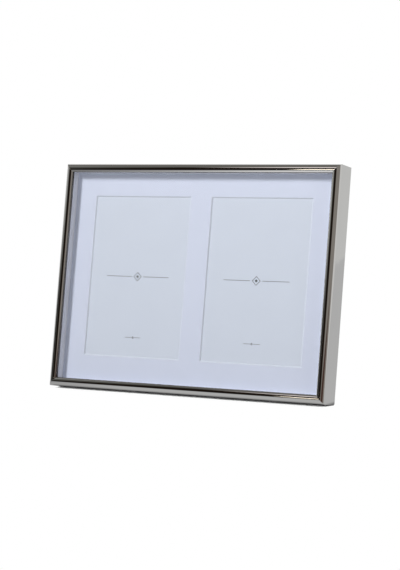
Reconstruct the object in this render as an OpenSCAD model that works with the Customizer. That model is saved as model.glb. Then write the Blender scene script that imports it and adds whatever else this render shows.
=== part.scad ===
// Double photo frame: a deep metal frame holding a mat with two upright windows.
// It leans back on the rounded lower back edge of its bottom rail and an easel strut.
// Within the frame x runs to the right, y from the front plane to the back, and z up along
// the rails. stand() leans all of it back and sets it on the table at z = 0.

/* [Frame] */
// Outer width of the frame
frame_w = 245; // [230:1:300]
// Outer height of the frame
frame_h = 180; // [172:1:230]
// Depth of the rails from the front plane to the back
frame_d = 20.5; // [19.5:0.5:27]
// How far the frame leans back from upright, in degrees
lean = 9; // [6:0.5:12]

/* [Rail section] */
// Radius of the convex front, which runs on into the flat side
crown_r = 3.9; // [3.5:0.1:4.4]
// Angle through which the convex front turns down towards the glass, in degrees
crown_turn = 48; // [40:1:55]
// Thickness of the lip's inner edge, which the glass seats against
lip_t = 1.5; // [1:0.1:2]
// Thickness of the outer wall
wall_t = 1.2; // [0.8:0.1:1.5]
// Width of the hollow that takes the corner keys
hollow_w = 1.8; // [1.4:0.1:2.2]
// Thickness of the inner wall
inner_t = 1; // [0.7:0.1:1.3]
// Radius of the lower back edge, on which the frame rests
foot_r = 3; // [2:0.1:4]
// Radius of the other outer back edges
edge_r = 0.6; // [0.3:0.1:1]

/* [Corner keys] */
// Length of each leg of a key
key_leg = 24; // [18:1:32]
// Gap between a key and the walls of the hollow
key_gap = 0.05; // [0.02:0.01:0.1]
// Gap between a key's edges and the ends of the hollow
key_end_gap = 0.3; // [0.1:0.1:0.6]
// Radius of the set screws
screw_r = 1; // [0.8:0.1:1.3]
// Distance from a key's end to its set screw
screw_in = 5; // [3:0.5:8]
// Size of the screws' hexagon socket, corner to corner
socket_w = 1; // [0.8:0.1:1.2]
// Depth of the screws' hexagon socket
socket_d = 0.8; // [0.5:0.1:1.2]

/* [Glass, spacers and mat] */
// Gap around everything that is laid into the frame
fit_gap = 0.3; // [0.1:0.1:0.6]
// Thickness of the glass
glass_t = 2; // [1.5:0.1:2.2]
// How far the spacer strips hold the mat behind the glass
spacer_h = 6.5; // [5.8:0.1:6.8]
// Thickness of the spacer strips
spacer_t = 2.1; // [1.5:0.1:2.4]
// Thickness of the mat board
mat_t = 0.9; // [0.6:0.1:1.4]
// Width of the mat's bevel, seen from the front
bevel_w = 0.9; // [0.5:0.1:1.6]
// Width of a print
print_w = 90; // [80:1:92]
// Height of a print
print_h = 130; // [120:1:135]
// Thickness of a print
print_t = 0.3; // [0.2:0.05:0.4]
// How far the mat covers a print's side edges
cover_side = 1.9; // [1.2:0.1:4]
// How far the mat covers a print's top and bottom edges
cover_end = 1.4; // [1:0.1:3.5]
// Width of the mat's bar between the two windows
window_gap = 18.5; // [15:0.5:24]
// How far the windows sit above the middle of the frame
window_lift = 0.9; // [0:0.1:4]

/* [Back] */
// Thickness of the filler card behind the prints
filler_t = 1.7; // [1.2:0.1:2.2]
// Thickness of the back board
board_t = 3; // [2:0.1:3.2]

/* [Turn buttons] */
// Thickness of a turn button
button_t = 1; // [0.8:0.1:1.2]
// Width of a turn button
button_w = 7; // [6:0.5:9]
// Distance from a turn button's rivet to its tip
button_reach = 10.5; // [9:0.5:13]
// Distance from a turn button's rivet to its tail
button_tail = 4.5; // [3.8:0.1:6]
// Height of the tail that is bent up for the thumb
thumb_h = 2; // [1:0.1:3]
// Distance of the top turn buttons from the middle
button_top_x = 40; // [32:1:55]
// Distance of the bottom turn buttons from the middle
button_bottom_x = 70; // [55:1:90]
// Height of the side turn buttons
button_side_z = 90; // [60:1:110]

/* [Rivets] */
// Radius of the rivets' shanks
rivet_r = 1; // [0.8:0.1:1.3]
// Radius of the rivets' heads
head_r = 2; // [1.8:0.1:2.4]
// Height of the rivets' heads
head_h = 0.8; // [0.5:0.1:1]

/* [Easel strut] */
// Angle between the back board and the open strut, in degrees
strut_open = 17; // [14:0.5:24]
// Height of the strut's hinge pin above the frame's lower edge
hinge_z = 128; // [110:1:135]
// Thickness of the strut
strut_t = 3; // [2.5:0.1:4]
// Width of the strut at its top end
strut_top_w = 42; // [38:1:50]
// Width of the strut at its foot
strut_foot_w = 58; // [44:1:70]

/* [Strut hinge] */
// Length of the hinge along its pin
hinge_w = 26; // [22:1:30]
// Thickness of the hinge leaves
leaf_t = 0.7; // [0.5:0.1:0.9]
// Height of each hinge leaf
leaf_h = 14; // [11:0.5:18]
// Radius of the hinge pin
pin_r = 0.8; // [0.6:0.1:0.9]
// Outer radius of the knuckles
knuckle_r = 1.5; // [1.4:0.1:1.8]
// Gap between neighbouring knuckles
knuckle_gap = 0.2; // [0.1:0.1:0.4]

/* [Hangers] */
// Distance of each hanger from the frame's nearer side
hanger_side = 47.5; // [38:0.5:57]
// Distance of the hangers' eyes below the frame's upper edge
hanger_drop = 30; // [26:1:40]
// Radius of the hanger wire
wire_r = 0.7; // [0.5:0.05:0.8]
// Width of the wire triangle
ring_w = 16; // [14:0.5:20]
// Height of the wire triangle
ring_h = 14; // [13:0.5:16]
// Width of the strap
strap_w = 9; // [7:0.5:10]
// Length of the strap below its eye
strap_l = 12; // [11:0.5:14]
// Thickness of the strap
strap_t = 0.8; // [0.6:0.1:0.8]

/* [Hidden] */
$fn = 64;

// How far a cutter runs past the face that it cuts
cut = 0.5;
// Radial clearance of a shaft or shank in its hole
run_gap = 0.05;
// Gap between two faces that slide over each other
slide_gap = 0.1;

// Width of the rail's front, and depth of the glass seat behind it
face_w = crown_r * (1 + sin(crown_turn));
seat_y = crown_r * (1 - cos(crown_turn)) + lip_t;
// Width of the rail behind its lip
rim_w = wall_t + hollow_w + inner_t;
// Space inside the rails for what is laid in
inner_w = frame_w - 2 * (rim_w + fit_gap);
inner_h = frame_h - 2 * (rim_w + fit_gap);
// Front faces of the layers, one behind the other
spacer_y = seat_y + glass_t;
mat_y = spacer_y + spacer_h;
print_y = mat_y + mat_t;
filler_y = print_y + print_t;
board_y = filler_y + filler_t;
board_back = board_y + board_t;

// Groove in the rails that the tips of the turn buttons turn into
groove_lead = 0.3;
groove_play = 0.2;
groove_y = board_back - groove_lead;
groove_back = board_back + slide_gap + button_t + groove_play;

// Corner keys and their screws
key_in = wall_t + key_gap;
key_t = hollow_w - 2 * key_gap;
key_y = seat_y + key_end_gap;
key_h = groove_y - seat_y - 2 * key_end_gap;
screw_s = key_in + key_leg - screw_in;
screw_y = key_y + key_h / 2;
screw_l = hollow_w + inner_t;

// Openings of the mat at its back and at its front
opening_w = print_w - 2 * cover_side;
opening_h = print_h - 2 * cover_end;
window_w = opening_w + 2 * bevel_w;
window_h = opening_h + 2 * bevel_w;
window_x = (window_gap + window_w) / 2;
window_z = frame_h / 2 + window_lift;

// Turn buttons: gap at the tip, bent tail, rivet positions and directions
tip_gap = 0.3;
thumb_t = 0.9;
button_in = wall_t + tip_gap + button_reach;
button_y = board_back + slide_gap;
BUTTONS = [
    [-button_top_x, frame_h - button_in, -90],
    [button_top_x, frame_h - button_in, -90],
    [-button_bottom_x, button_in, 90],
    [button_bottom_x, button_in, 90],
    [button_in - frame_w / 2, button_side_z, 180],
    [frame_w / 2 - button_in, button_side_z, 0]
];

// Strut hinge: pin height over the board, leaf rivets, room round the knuckles
axis_y = board_back + slide_gap + knuckle_r;
knuckle_l = hinge_w / 5;
knuckle_room = knuckle_r + knuckle_gap;
leaf_rivet_x = hinge_w * 0.3;
leaf_rivet_z = (knuckle_r + leaf_h) / 2;
pin_head_r = 1.2;
pin_head_h = 0.5;
// Strut: front face against the pin, notch round the hinge, top edge that stops on the board
strut_face = leaf_t - knuckle_r;
notch_gap = 1.2;
stop_gap = 0.03;
stop_z = (strut_face * cos(strut_open) + axis_y - board_back - stop_gap) / sin(strut_open);

// Hangers: their places, the eye rolled from the strap, its pin line over the board, and the
// rivet below it
hanger_x = frame_w / 2 - hanger_side;
hanger_z = frame_h - hanger_drop;
eye_r = wire_r + run_gap + strap_t;
eye_y = board_back + eye_r;
hanger_rivet_z = strap_l * 2 / 3;

// Lift that sets the rounded foot edge on the table
stand_z = foot_r * (1 - cos(lean)) + (frame_d - foot_r) * sin(lean);
// The hinge pin and the far edge of the strut's foot, once the frame leans
tilt = strut_open - lean;
pin_up = stand_z + hinge_z * cos(lean) - axis_y * sin(lean);
pin_out = hinge_z * sin(lean) + axis_y * cos(lean);
strut_back = strut_face + strut_t;
strut_l = (pin_up + strut_back * sin(tilt)) / cos(tilt);
// Front and back of the whole stand, and the shift that centres it on the origin
front_y = crown_r * (cos(lean) + sin(lean) - 1);
back_y = pin_out + strut_back * cos(tilt) + strut_l * sin(tilt);
stand_y = -(front_y + back_y) / 2;

metal = "gainsboro";
steel = "silver";
flock = "dimgray";

// Leans its children back and sets them on the table
module stand() {
    translate([0, stand_y, stand_z]) rotate([-lean, 0, 0]) children();
}

// What a round of radius r takes off the corner at the origin, inside x > 0 and y > 0
module corner_waste(r) {
    difference() {
        translate([-cut, -cut]) square(r + cut);
        translate([r, r]) circle(r);
    }
}

// Section of a rail: depth along x, distance in from the outer face along y. back_r is the
// radius of its outer back edge.
module rail_section(back_r) {
    difference() {
        intersection() {
            union() {
                translate([crown_r, crown_r]) circle(crown_r);
                translate([crown_r, 0]) square([frame_d - crown_r, rim_w]);
            }
            union() {
                square([seat_y, face_w]);
                square([frame_d, rim_w]);
            }
        }
        translate([seat_y, wall_t]) square([groove_back - seat_y, hollow_w]);
        translate([groove_y, wall_t]) square([groove_back - groove_y, rim_w]);
        translate([frame_d, 0]) mirror([1, 0]) corner_waste(back_r);
    }
}

// A rail lying along x with its outer face on z = 0, mitred at both ends
module rail(length, back_r) {
    intersection() {
        translate([-length / 2, 0, 0]) rotate([90, 0, 90]) linear_extrude(length)
            rail_section(back_r);
        translate([0, frame_d, 0]) rotate([90, 0, 0]) linear_extrude(frame_d)
            polygon([
                [-length / 2, 0],
                [length / 2, 0],
                [length / 2 - face_w, face_w],
                [face_w - length / 2, face_w]
            ]);
    }
}

// Puts children drawn for the lower left corner at any corner
module at_corner(right, top) {
    translate([(right - 0.5) * frame_w, 0, top * frame_h])
        mirror([right, 0, 0]) mirror([0, 0, top]) children();
}

// The two screw lines of the lower left corner, each with z pointing out of the hollow
module key_screw_lines() {
    translate([screw_s, screw_y, rim_w]) children();
    translate([rim_w, screw_y, screw_s]) rotate([0, 90, 0]) children();
}

module key_screw_holes() {
    key_screw_lines() translate([0, 0, -screw_l]) cylinder(h = screw_l + cut, r = screw_r + run_gap);
}

module all_key_screw_holes() {
    for (right = [0, 1], top = [0, 1]) at_corner(right, top) key_screw_holes();
}

module finish_rail() {
    color(metal) stand() difference() {
        children();
        all_key_screw_holes();
    }
}

// The round under the bottom rail goes on across the side rails' lower ends
module side_rail() {
    difference() {
        translate([-frame_w / 2, 0, frame_h / 2]) rotate([0, 90, 0]) rail(frame_h, edge_r);
        translate([-frame_w / 2 - cut, frame_d, 0]) rotate([90, 0, 90])
            linear_extrude(face_w + 2 * cut) mirror([1, 0]) corner_waste(foot_r);
    }
}

module rail_bottom() { finish_rail() rail(frame_w, foot_r); }

module rail_top() {
    finish_rail() translate([0, 0, frame_h]) mirror([0, 0, 1]) rail(frame_w, edge_r);
}

module rail_left() { finish_rail() side_rail(); }

module rail_right() { finish_rail() mirror([1, 0, 0]) side_rail(); }

// Bent angle that joins two rails at a mitre
module corner_key(right, top) {
    color(steel) stand() at_corner(right, top) difference() {
        union() {
            translate([key_in, key_y, key_in]) cube([key_leg, key_h, key_t]);
            translate([key_in, key_y, key_in]) cube([key_t, key_h, key_leg]);
        }
        key_screw_holes();
    }
}

module corner_key_top_left() { corner_key(0, 1); }

module corner_key_top_right() { corner_key(1, 1); }

module corner_key_bottom_left() { corner_key(0, 0); }

module corner_key_bottom_right() { corner_key(1, 0); }

module key_screws() {
    color(steel) stand() for (right = [0, 1], top = [0, 1]) at_corner(right, top) key_screw_lines()
        translate([0, 0, -screw_l]) difference() {
            cylinder(h = screw_l, r = screw_r);
            translate([0, 0, screw_l - socket_d]) cylinder(h = socket_d + cut, r = socket_w / 2, $fn = 6);
        }
}

// A layer that fills the frame from wall to wall
module layer(y, thickness) {
    translate([-inner_w / 2, y, (frame_h - inner_h) / 2]) cube([inner_w, thickness, inner_h]);
}

module glass_pane() { color("aliceblue", 0.3) stand() layer(seat_y, glass_t); }

// The top and bottom strips run from wall to wall, the side strips stand between them
module level_spacer(z) {
    color("white") stand() translate([-inner_w / 2, spacer_y, z]) cube([inner_w, spacer_h, spacer_t]);
}

module side_spacer(x) {
    color("white") stand() translate([x, spacer_y, (frame_h - inner_h) / 2 + spacer_t])
        cube([spacer_t, spacer_h, inner_h - 2 * spacer_t]);
}

module spacer_top() { level_spacer((frame_h + inner_h) / 2 - spacer_t); }

module spacer_bottom() { level_spacer((frame_h - inner_h) / 2); }

module spacer_left() { side_spacer(-inner_w / 2); }

module spacer_right() { side_spacer(inner_w / 2 - spacer_t); }

// Profile of a bevel-cut opening: half the window at the mat's front, narrowing to its back
module bevel_profile(front_w) {
    run = bevel_w / mat_t;
    wide = front_w / 2 + cut * run;
    narrow = front_w / 2 - (mat_t + cut) * run;
    polygon([[-wide, -cut], [wide, -cut], [narrow, mat_t + cut], [-narrow, mat_t + cut]]);
}

// Cutter of one window, bevelled on all four sides
module window_cutter() {
    intersection() {
        translate([0, 0, -window_h]) linear_extrude(2 * window_h) bevel_profile(window_w);
        translate([-window_w, 0, 0]) rotate([90, 0, 90]) linear_extrude(2 * window_w)
            mirror([1, -1]) bevel_profile(window_h);
    }
}

module mat_board() {
    color("lavender") stand() difference() {
        layer(mat_y, mat_t);
        for (side = [-1, 1]) translate([side * window_x, mat_y, window_z]) window_cutter();
    }
}

module photo_print(side) {
    color("whitesmoke") stand()
        translate([side * window_x - print_w / 2, print_y, window_z - print_h / 2])
            cube([print_w, print_t, print_h]);
}

module print_left() { photo_print(-1); }

module print_right() { photo_print(1); }

module filler_card() { color("tan") stand() layer(filler_y, filler_t); }

// A rivet or its hole along y: head towards the back, its underside at the origin
module rivet(length) {
    cap_r = (head_r * head_r + head_h * head_h) / (2 * head_h);
    rotate([-90, 0, 0]) rotate_extrude() {
        intersection() {
            translate([0, head_h - cap_r]) circle(cap_r);
            square([head_r, head_h]);
        }
        translate([0, -length]) square([rivet_r, length]);
    }
}

module rivet_hole(length) {
    rotate([90, 0, 0]) translate([0, 0, -cut]) cylinder(h = length + 2 * cut, r = rivet_r + run_gap);
}

// Rivet places on the back board, for the pieces that are fixed to it
module at_leaf_rivets(z) {
    for (side = [-1, 1]) translate([side * leaf_rivet_x, 0, z]) children();
}

module at_hanger_rivets() {
    for (side = [-1, 1]) translate([side * hanger_x, 0, hanger_z - hanger_rivet_z]) children();
}

module back_board() {
    color(flock) stand() difference() {
        layer(board_y, board_t);
        translate([0, board_back, 0]) {
            for (b = BUTTONS) translate([b[0], 0, b[1]]) rivet_hole(board_t);
            at_leaf_rivets(hinge_z + leaf_rivet_z) rivet_hole(board_t);
            at_hanger_rivets() rivet_hole(board_t);
        }
    }
}

// Turn button pointing along x, with its rivet hole at the origin and a bent-up tail
module button_blade() {
    tip_x = button_reach - button_w / 2;
    rotate([-90, 0, 0]) difference() {
        linear_extrude(button_t) {
            translate([tip_x, 0]) circle(button_w / 2);
            translate([-button_tail, -button_w / 2]) square([button_tail + tip_x, button_w]);
        }
        translate([0, 0, -cut]) cylinder(h = button_t + 2 * cut, r = rivet_r + run_gap);
    }
    translate([-button_tail, 0, -button_w / 2]) cube([thumb_t, button_t + thumb_h, button_w]);
}

module turn_button(b) {
    color(steel) stand() translate([b[0], button_y, b[1]]) rotate([0, b[2], 0]) button_blade();
}

module turn_button_top_left() { turn_button(BUTTONS[0]); }

module turn_button_top_right() { turn_button(BUTTONS[1]); }

module turn_button_bottom_left() { turn_button(BUTTONS[2]); }

module turn_button_bottom_right() { turn_button(BUTTONS[3]); }

module turn_button_left() { turn_button(BUTTONS[4]); }

module turn_button_right() { turn_button(BUTTONS[5]); }

module button_rivets() {
    head_y = button_y + button_t + run_gap;
    color(steel) stand() for (b = BUTTONS)
        translate([b[0], head_y, b[1]]) rivet(head_y - board_y);
}

// Knuckle number n of five along the pin, counted from the left
module knuckle(n) {
    translate([-hinge_w / 2 + n * knuckle_l + knuckle_gap / 2, 0, 0]) rotate([0, 90, 0])
        cylinder(h = knuckle_l - knuckle_gap, r = knuckle_r);
}

module knuckle_bore() {
    translate([-hinge_w / 2 - cut, 0, 0]) rotate([0, 90, 0])
        cylinder(h = hinge_w + 2 * cut, r = pin_r + run_gap);
}

// A hinge leaf going up from the pin line, its outer face a knuckle radius below the line
module leaf(knuckles) {
    difference() {
        union() {
            translate([-hinge_w / 2, -knuckle_r, knuckle_room])
                cube([hinge_w, leaf_t, leaf_h - knuckle_room]);
            for (n = knuckles) {
                knuckle(n);
                translate([-hinge_w / 2 + n * knuckle_l + knuckle_gap / 2, -knuckle_r, 0])
                    cube([knuckle_l - knuckle_gap, leaf_t, knuckle_room]);
            }
        }
        knuckle_bore();
        at_leaf_rivets(leaf_rivet_z) rivet_hole(knuckle_r);
    }
}

module board_leaf() { color(steel) stand() translate([0, axis_y, hinge_z]) leaf([1, 3]); }

module board_leaf_rivets() {
    head_y = axis_y - knuckle_r + leaf_t;
    color(steel) stand() translate([0, head_y, hinge_z]) at_leaf_rivets(leaf_rivet_z)
        rivet(head_y - board_y);
}

module hinge_pin() {
    color(steel) stand() translate([0, axis_y, hinge_z]) rotate([0, 90, 0]) {
        translate([0, 0, -hinge_w / 2]) cylinder(h = hinge_w, r = pin_r);
        for (side = [0, 1]) mirror([0, 0, side])
            translate([0, 0, hinge_w / 2]) cylinder(h = pin_head_h, r = pin_head_r);
    }
}

// Opens what is drawn on the pin line, hanging down, to the strut's rest place
module on_strut() {
    stand() translate([0, axis_y, hinge_z]) rotate([strut_open, 0, 0]) children();
}

// Outline of the strut from its stop edge down to the foot
module strut_outline() {
    difference() {
        polygon([
            [-strut_top_w / 2, stop_z],
            [strut_top_w / 2, stop_z],
            [strut_foot_w / 2, -strut_l],
            [-strut_foot_w / 2, -strut_l]
        ]);
        translate([-hinge_w / 2 - notch_gap, -knuckle_room])
            square([hinge_w + 2 * notch_gap, knuckle_room + stop_z + cut]);
    }
}

// The foot is cut along the table
module strut_board() {
    color(flock) difference() {
        on_strut() difference() {
            translate([0, strut_back, 0]) rotate([90, 0, 0]) linear_extrude(strut_t) strut_outline();
            translate([0, strut_back, 0]) at_leaf_rivets(-leaf_rivet_z) rivet_hole(strut_t);
        }
        translate([-strut_foot_w, 0, -strut_t]) cube([2 * strut_foot_w, back_y, strut_t]);
    }
}

module strut_leaf() { color(steel) on_strut() mirror([0, 0, 1]) leaf([0, 2, 4]); }

module strut_rivets() {
    color(steel) on_strut() translate([0, strut_back, 0]) at_leaf_rivets(-leaf_rivet_z)
        rivet(strut_t + leaf_t);
}

// Strap whose top is rolled into the eye that the wire turns in
module hanger_strap(side) {
    color(steel) stand() translate([side * hanger_x, eye_y, hanger_z]) difference() {
        union() {
            translate([-strap_w / 2, -eye_r, -strap_l]) cube([strap_w, strap_t, strap_l]);
            translate([-strap_w / 2, 0, 0]) rotate([0, 90, 0]) cylinder(h = strap_w, r = eye_r);
        }
        translate([-strap_w, 0, 0]) rotate([0, 90, 0])
            cylinder(h = 2 * strap_w, r = wire_r + run_gap);
        translate([0, 0, -hanger_rivet_z]) rivet_hole(eye_r);
    }
}

module hanger_strap_left() { hanger_strap(-1); }

module hanger_strap_right() { hanger_strap(1); }

module hanger_rivets() {
    head_y = board_back + strap_t;
    color(steel) stand() translate([0, head_y, 0]) at_hanger_rivets() rivet(head_y - board_y);
}

// Wire triangle that hangs straight down from its bar
module hanger_ring(side) {
    slope = atan2(ring_w / 2, ring_h);
    leg_l = norm([ring_w / 2, ring_h]);
    color(steel) stand() translate([side * hanger_x, eye_y, hanger_z]) rotate([lean, 0, 0]) {
        translate([-ring_w / 2, 0, 0]) rotate([0, 90, 0]) cylinder(h = ring_w, r = wire_r);
        translate([0, 0, -ring_h]) sphere(wire_r);
        for (end = [0, 1]) mirror([end, 0, 0]) translate([ring_w / 2, 0, 0]) {
            sphere(wire_r);
            rotate([0, 180 + slope, 0]) cylinder(h = leg_l, r = wire_r);
        }
    }
}

module hanger_ring_left() { hanger_ring(-1); }

module hanger_ring_right() { hanger_ring(1); }

rail_top();
rail_bottom();
rail_left();
rail_right();
corner_key_top_left();
corner_key_top_right();
corner_key_bottom_left();
corner_key_bottom_right();
key_screws();
glass_pane();
spacer_top();
spacer_bottom();
spacer_left();
spacer_right();
mat_board();
print_left();
print_right();
filler_card();
back_board();
turn_button_top_left();
turn_button_top_right();
turn_button_bottom_left();
turn_button_bottom_right();
turn_button_left();
turn_button_right();
button_rivets();
strut_board();
strut_leaf();
strut_rivets();
board_leaf();
board_leaf_rivets();
hinge_pin();
hanger_strap_left();
hanger_strap_right();
hanger_ring_left();
hanger_ring_right();
hanger_rivets();
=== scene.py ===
import math

import bmesh
import bpy
from mathutils import Matrix, Vector


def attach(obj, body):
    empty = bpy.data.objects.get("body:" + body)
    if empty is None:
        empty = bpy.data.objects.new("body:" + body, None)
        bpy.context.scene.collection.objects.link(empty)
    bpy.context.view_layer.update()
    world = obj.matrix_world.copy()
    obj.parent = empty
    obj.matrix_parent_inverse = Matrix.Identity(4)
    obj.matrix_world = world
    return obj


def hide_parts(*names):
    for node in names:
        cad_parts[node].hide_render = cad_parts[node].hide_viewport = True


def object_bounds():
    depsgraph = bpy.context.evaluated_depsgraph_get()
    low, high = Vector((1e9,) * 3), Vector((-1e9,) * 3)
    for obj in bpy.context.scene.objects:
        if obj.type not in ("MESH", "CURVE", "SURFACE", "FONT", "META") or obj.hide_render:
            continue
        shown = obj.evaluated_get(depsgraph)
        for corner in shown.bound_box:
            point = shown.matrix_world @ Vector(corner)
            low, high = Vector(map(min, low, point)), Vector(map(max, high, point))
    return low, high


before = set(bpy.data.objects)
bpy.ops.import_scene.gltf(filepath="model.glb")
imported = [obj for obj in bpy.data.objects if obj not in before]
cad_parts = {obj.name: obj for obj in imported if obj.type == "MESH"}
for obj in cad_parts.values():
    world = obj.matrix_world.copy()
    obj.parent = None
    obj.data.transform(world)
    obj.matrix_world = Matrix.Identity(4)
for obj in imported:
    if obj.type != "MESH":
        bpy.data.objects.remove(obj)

# Double photo frame: polished metal rails round a deep mat with two upright windows. It leans
# back on the rounded lower back edge of its bottom rail and on an easel strut. Sizes are in
# metres. Pieces are drawn upright, x to the right, y from the front plane to the back and z up
# along the rails, and the stand matrix then leans them back as the solids lean.
cad_low, cad_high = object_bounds()


# Rails: aluminium extruded with a convex front and a hollow for the corner keys, polished to a
# mirror and nickel plated. Each is sawn at 45 degrees at both ends, and the bottom one and the
# side rails' lower ends are rounded at the back, where the frame rests.
frame_width = 0.245
frame_height = 0.180
rail_depth = 0.0205
lean = math.radians(9)
crown_radius = 0.0039
crown_turn = math.radians(48)
lip_thickness = 0.0015
outer_wall = 0.0012
hollow_width = 0.0018
inner_wall = 0.001
foot_radius = 0.003
back_radius = 0.0006
glass_thickness = 0.002
spacer_height = 0.0065
mat_thickness = 0.0009
print_thickness = 0.0003
filler_thickness = 0.0017
board_thickness = 0.003
button_thickness = 0.001
slide_gap = 0.0001
groove_lead = 0.0003
groove_play = 0.0002
lip_roll = 0.001
crown_steps = 56
roll_steps = 14
foot_steps = 14
back_steps = 4
saw_break = 0.00007
smooth_angle = math.radians(28)
quarter = math.pi / 2
weld_reach = 1e-7
cut_reach = 1e-6
clear_step = 1e-5

face_width = crown_radius * (1 + math.sin(crown_turn))
roll_turn = math.asin((face_width - lip_roll - crown_radius) / (crown_radius - lip_roll))
roll_depth = crown_radius - (crown_radius - lip_roll) * math.cos(roll_turn)
seat_depth = crown_radius * (1 - math.cos(crown_turn)) + lip_thickness
rim_width = outer_wall + hollow_width + inner_wall
shown_wall = outer_wall * 0.4
spacer_depth = seat_depth + glass_thickness
mat_depth = spacer_depth + spacer_height
print_depth = mat_depth + mat_thickness
filler_depth = print_depth + print_thickness
board_back = filler_depth + filler_thickness + board_thickness
groove_front = board_back - groove_lead
groove_back = board_back + slide_gap + button_thickness + groove_play

stand_height = foot_radius * (1 - math.cos(lean)) + (rail_depth - foot_radius) * math.sin(lean)
crown_reach = crown_radius * (math.cos(lean) + math.sin(lean) - 1)
stand_place = Vector((0, cad_low.y - crown_reach, stand_height))
stand = Matrix.Translation(stand_place) @ Matrix.Rotation(-lean, 4, "X")


def put(tree, kind, inputs=(), **settings):
    """Adds a node of a kind with its settings, and sets or wires its inputs by name or number."""
    node = tree.nodes.new("ShaderNode" + kind)
    for name, value in settings.items():
        setattr(node, name, value)
    for key, value in dict(inputs).items():
        if isinstance(value, bpy.types.NodeSocket):
            tree.links.new(value, node.inputs[key])
        else:
            node.inputs[key].default_value = value
    return node


def calc(tree, operation, *values, clamp=False):
    """The outcome of a sum on one to three numbers or sockets."""
    return put(tree, "Math", enumerate(values), operation=operation, use_clamp=clamp).outputs[0]


def ramp(tree, value, span, levels=(0, 1), smooth=False):
    """Takes the two ends of a span of a value to two levels, which it holds outside the span."""
    inputs = {"Value": value, "From Min": span[0], "From Max": span[1], "To Min": levels[0],
              "To Max": levels[1]}
    kind = "SMOOTHSTEP" if smooth else "LINEAR"
    return put(tree, "MapRange", inputs, interpolation_type=kind).outputs[0]


def blend(tree, share, first, second, kind="RGBA"):
    """What lies between two colours, or two numbers, at a share from 0 to 1."""
    mix = put(tree, "Mix", {"Factor": share, "A": first, "B": second}, data_type=kind)
    return mix.outputs["Result"]


def noise(tree, place, scale, detail, roughness=0.5, distortion=0):
    """Soft noise from 0 to 1 over a place in metres."""
    inputs = {"Vector": place, "Scale": scale, "Detail": detail, "Roughness": roughness,
              "Distortion": distortion}
    return put(tree, "TexNoise", inputs).outputs["Fac"]


def new_material(name):
    """A material with its node tree and its Principled shader."""
    material = bpy.data.materials.new(name)
    material.use_nodes = True
    tree = material.node_tree
    return material, tree, tree.nodes["Principled BSDF"]


def new_group(name, inputs, outputs):
    """A shader node group with its sockets, its tree, and its input and output nodes."""
    tree = bpy.data.node_groups.new(name, "ShaderNodeTree")
    for label, kind in inputs.items():
        tree.interface.new_socket(label, in_out="INPUT", socket_type="NodeSocket" + kind)
    for label, kind in outputs.items():
        tree.interface.new_socket(label, in_out="OUTPUT", socket_type="NodeSocket" + kind)
    return tree, tree.nodes.new("NodeGroupInput"), tree.nodes.new("NodeGroupOutput")


def new_object(bm, name, materials):
    """The object of a finished bmesh, at the origin."""
    mesh = bpy.data.meshes.new(name)
    bm.to_mesh(mesh)
    bm.free()
    for material in materials:
        mesh.materials.append(material)
    made = bpy.data.objects.new(name, mesh)
    bpy.context.scene.collection.objects.link(made)
    return made


def finish_mesh(bm, name, materials, body, replaced):
    """Makes the piece of a finished bmesh, which stands for CAD nodes and rides on a body."""
    bmesh.ops.recalc_face_normals(bm, faces=bm.faces[:])
    for face in bm.faces:
        face.smooth = True
    for edge in bm.edges:
        if len(edge.link_faces) == 2:
            edge.smooth = edge.calc_face_angle() < smooth_angle
    piece = new_object(bm, name, materials)
    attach(piece, body)
    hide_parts(*replaced)


def pick(kind, parts):
    """Those of one kind, such as the points, among some parts of a mesh."""
    return [part for part in parts if isinstance(part, kind)]


def draw_out(bm, faces, way):
    """Draws faces out to a solid, whose near end they stay."""
    drawn = bmesh.ops.extrude_face_region(bm, geom=faces, use_keep_orig=True)
    bmesh.ops.translate(bm, verts=pick(bmesh.types.BMVert, drawn["geom"]), vec=way)


def cut_away(bm, point, normal):
    """Cuts off what lies beyond a plane and closes the cut."""
    geometry = bm.verts[:] + bm.edges[:] + bm.faces[:]
    cut = bmesh.ops.bisect_plane(bm, geom=geometry, plane_co=point, plane_no=normal,
                                 clear_outer=True, dist=weld_reach)
    edges = pick(bmesh.types.BMEdge, cut["geom_cut"])
    open_edges = [edge for edge in edges if len(edge.link_faces) == 1]
    if open_edges:
        bmesh.ops.edgenet_fill(bm, edges=open_edges)


def rail_blank(length, back_edge):
    """A mitred rail along x, outer face on z = 0, with its own place kept for the polish and for
    the painted shade on the lip's edge.
    """
    bm = bmesh.new()
    lip = bm.verts.new((0, roll_depth, face_width))
    last = lip
    rounds = [
        ((0, roll_depth, face_width - lip_roll), quarter - roll_turn, roll_steps),
        ((0, crown_radius, crown_radius), quarter + roll_turn, crown_steps),
    ]
    for centre, turn, steps in rounds:
        spun = bmesh.ops.spin(bm, geom=[last], cent=centre, axis=(1, 0, 0), angle=turn,
                              steps=steps)
        last = pick(bmesh.types.BMVert, spun["geom_last"])[0]
    corners = [
        (rail_depth, 0),
        (rail_depth, rim_width),
        (groove_back, rim_width),
        (groove_back, outer_wall),
        (seat_depth, outer_wall),
        (seat_depth, outer_wall + hollow_width),
        (groove_front, outer_wall + hollow_width),
        (groove_front, rim_width),
        (seat_depth, rim_width),
        (seat_depth, face_width),
    ]
    back_corner = None
    for depth, inward in corners:
        corner = bm.verts.new((0, depth, inward))
        back_corner = back_corner or corner
        bm.edges.new((last, corner))
        last = corner
    bm.edges.new((last, lip))
    bmesh.ops.contextual_create(bm, geom=bm.edges[:])
    bmesh.ops.bevel(bm, geom=[back_corner], offset=back_edge, segments=back_steps, profile=0.5,
                    affect="VERTICES", material=-1)
    bmesh.ops.translate(bm, verts=bm.verts[:], vec=(-length / 2, 0, 0))
    draw_out(bm, bm.faces[:], (length, 0, 0))
    for side in (-1, 1):
        cut_away(bm, (side * length / 2, 0, 0), (side, 0, 1))
    bmesh.ops.recalc_face_normals(bm, faces=bm.faces[:])
    break_saw_edges(bm, length)
    place = bm.verts.layers.float_vector.new("rail_place")
    for vert in bm.verts:
        vert[place] = vert.co
    return bm


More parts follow.
